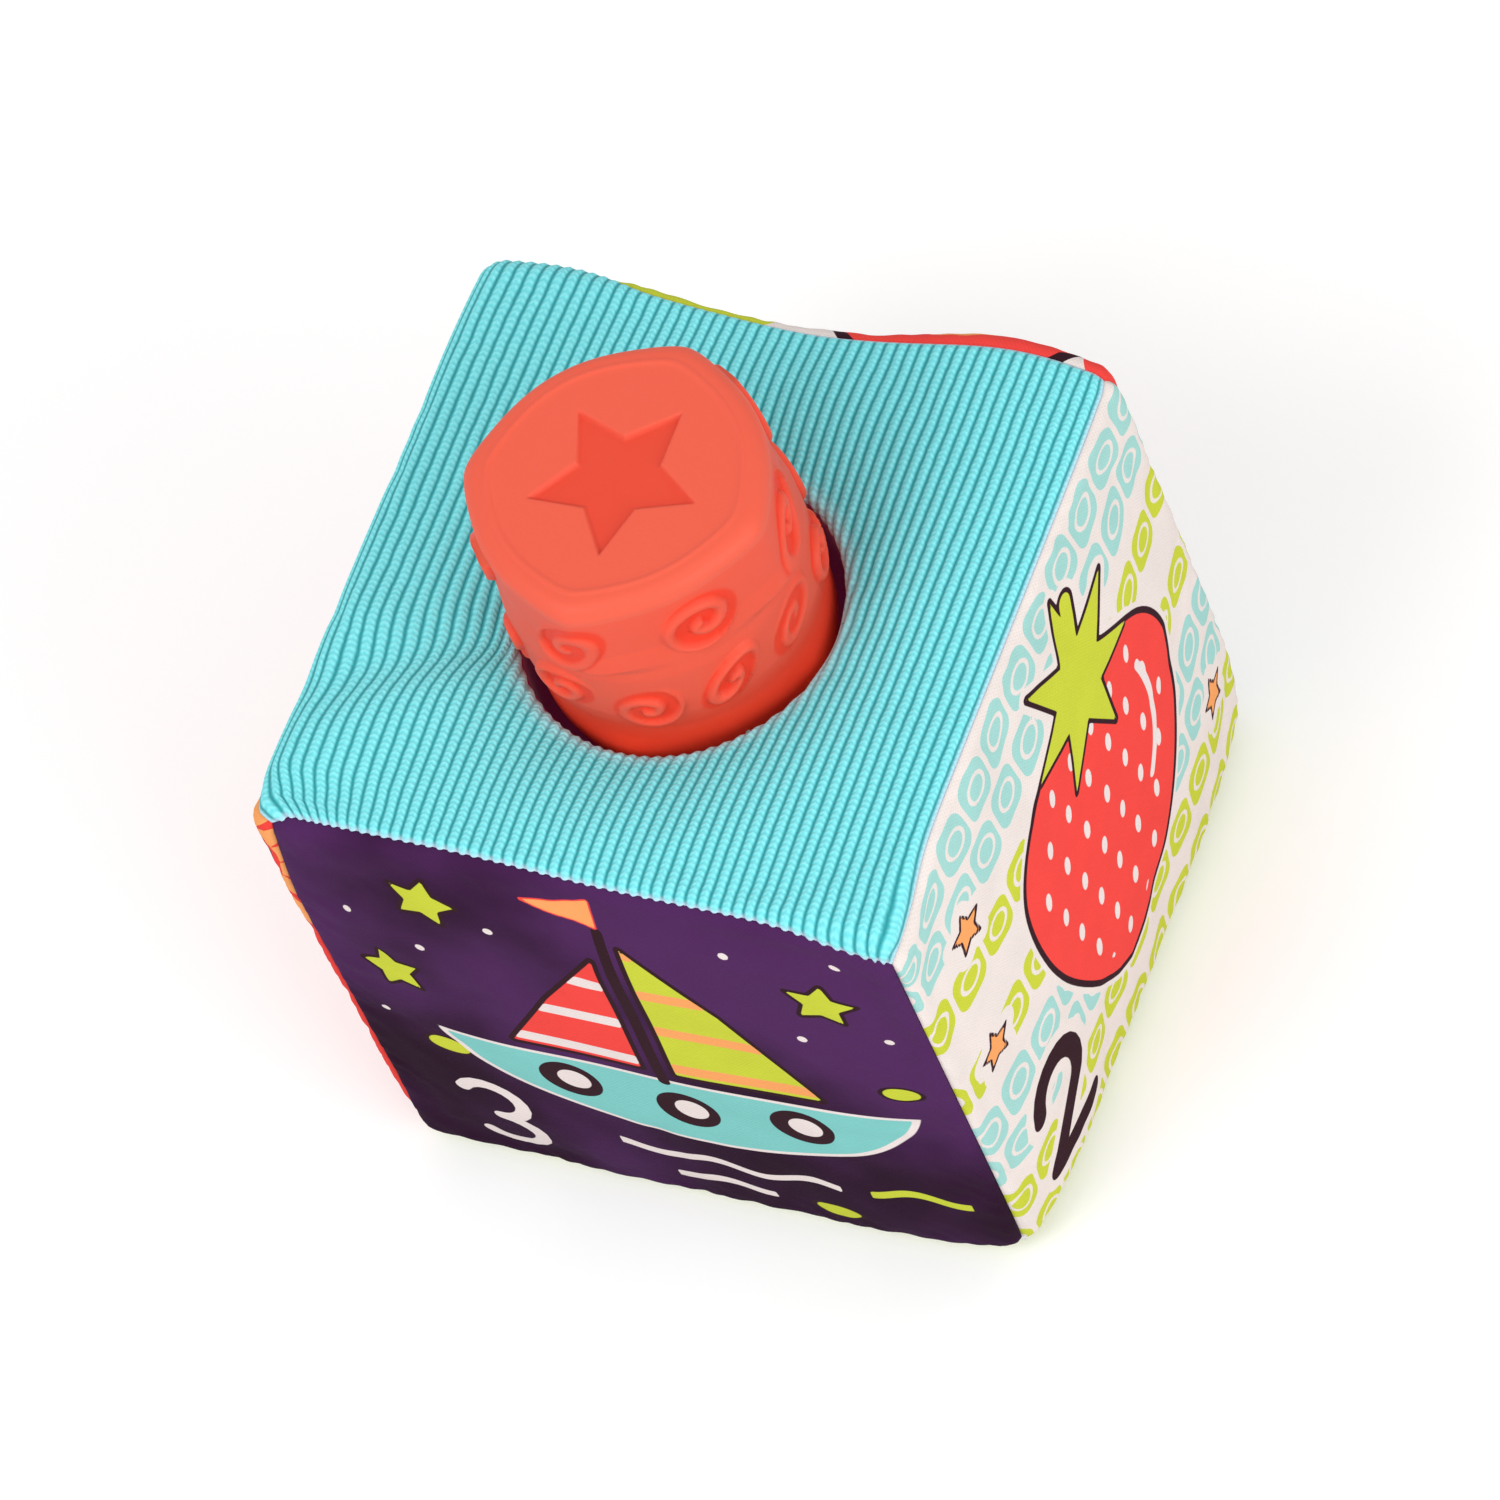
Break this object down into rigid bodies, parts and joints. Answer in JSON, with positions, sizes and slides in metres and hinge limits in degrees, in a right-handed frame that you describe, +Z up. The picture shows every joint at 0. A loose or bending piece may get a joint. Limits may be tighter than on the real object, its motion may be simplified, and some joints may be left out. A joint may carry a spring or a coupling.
{
  "type": "soft fabric block with squeeze block",
  "caption": "Soft sewn activity cube with printed padded sides, a rib-knit top with a round pocket, and a hollow rubber squeeze block that slides and turns in it.",
  "frame": {"origin": "middle of the underside, on the surface that the block stands on", "axes": "+Z up through the rib-knit top, -Y out of the dark purple front, +X out of the off-white right side"},
  "size_m": [0.134, 0.13, 0.162],
  "materials": {
    "rib_knit": "fine teal rib knit",
    "front_print": "brushed weave, purple with a printed pattern",
    "right_print": "brushed weave, off-white with a printed pattern",
    "back_print": "brushed weave, off-white with lime and red shapes",
    "left_print": "brushed weave, red and orange pattern",
    "bottom_fabric": "brushed weave, plain lime",
    "lining": "thin dark plum lining",
    "elastic": "woven elastic tape",
    "filling": "loose polyester fibre",
    "soft_rubber": "smooth matte coral",
    "plug_plastic": "plain white"
  },
  "bodies": {
    "cover": {"top_panel": "rib_knit", "front_panel": "front_print", "right_panel": "right_print", "back_panel": "back_print", "left_panel": "left_print", "bottom_panel": "bottom_fabric", "pocket_sleeve": "lining", "pocket_floor": "lining", "opening_elastic": "elastic", "upper_filling": "filling", "base_filling": "filling"},
    "plug": {"whistle_plug": "plug_plastic"},
    "squeeze_block": {"rubber_block": "soft_rubber"}
  },
  "joints": [
    {"name": "pocket_slide", "type": "slide", "parent": "cover", "child": "plug", "axis": [0, 0, 1], "range_m": [-0.044, 0.045]},
    {"name": "block_turn", "type": "hinge", "parent": "plug", "child": "squeeze_block", "pos_m": [0, -0.0018, 0.106], "axis": [0, 0, 1], "continuous": true}
  ]
}
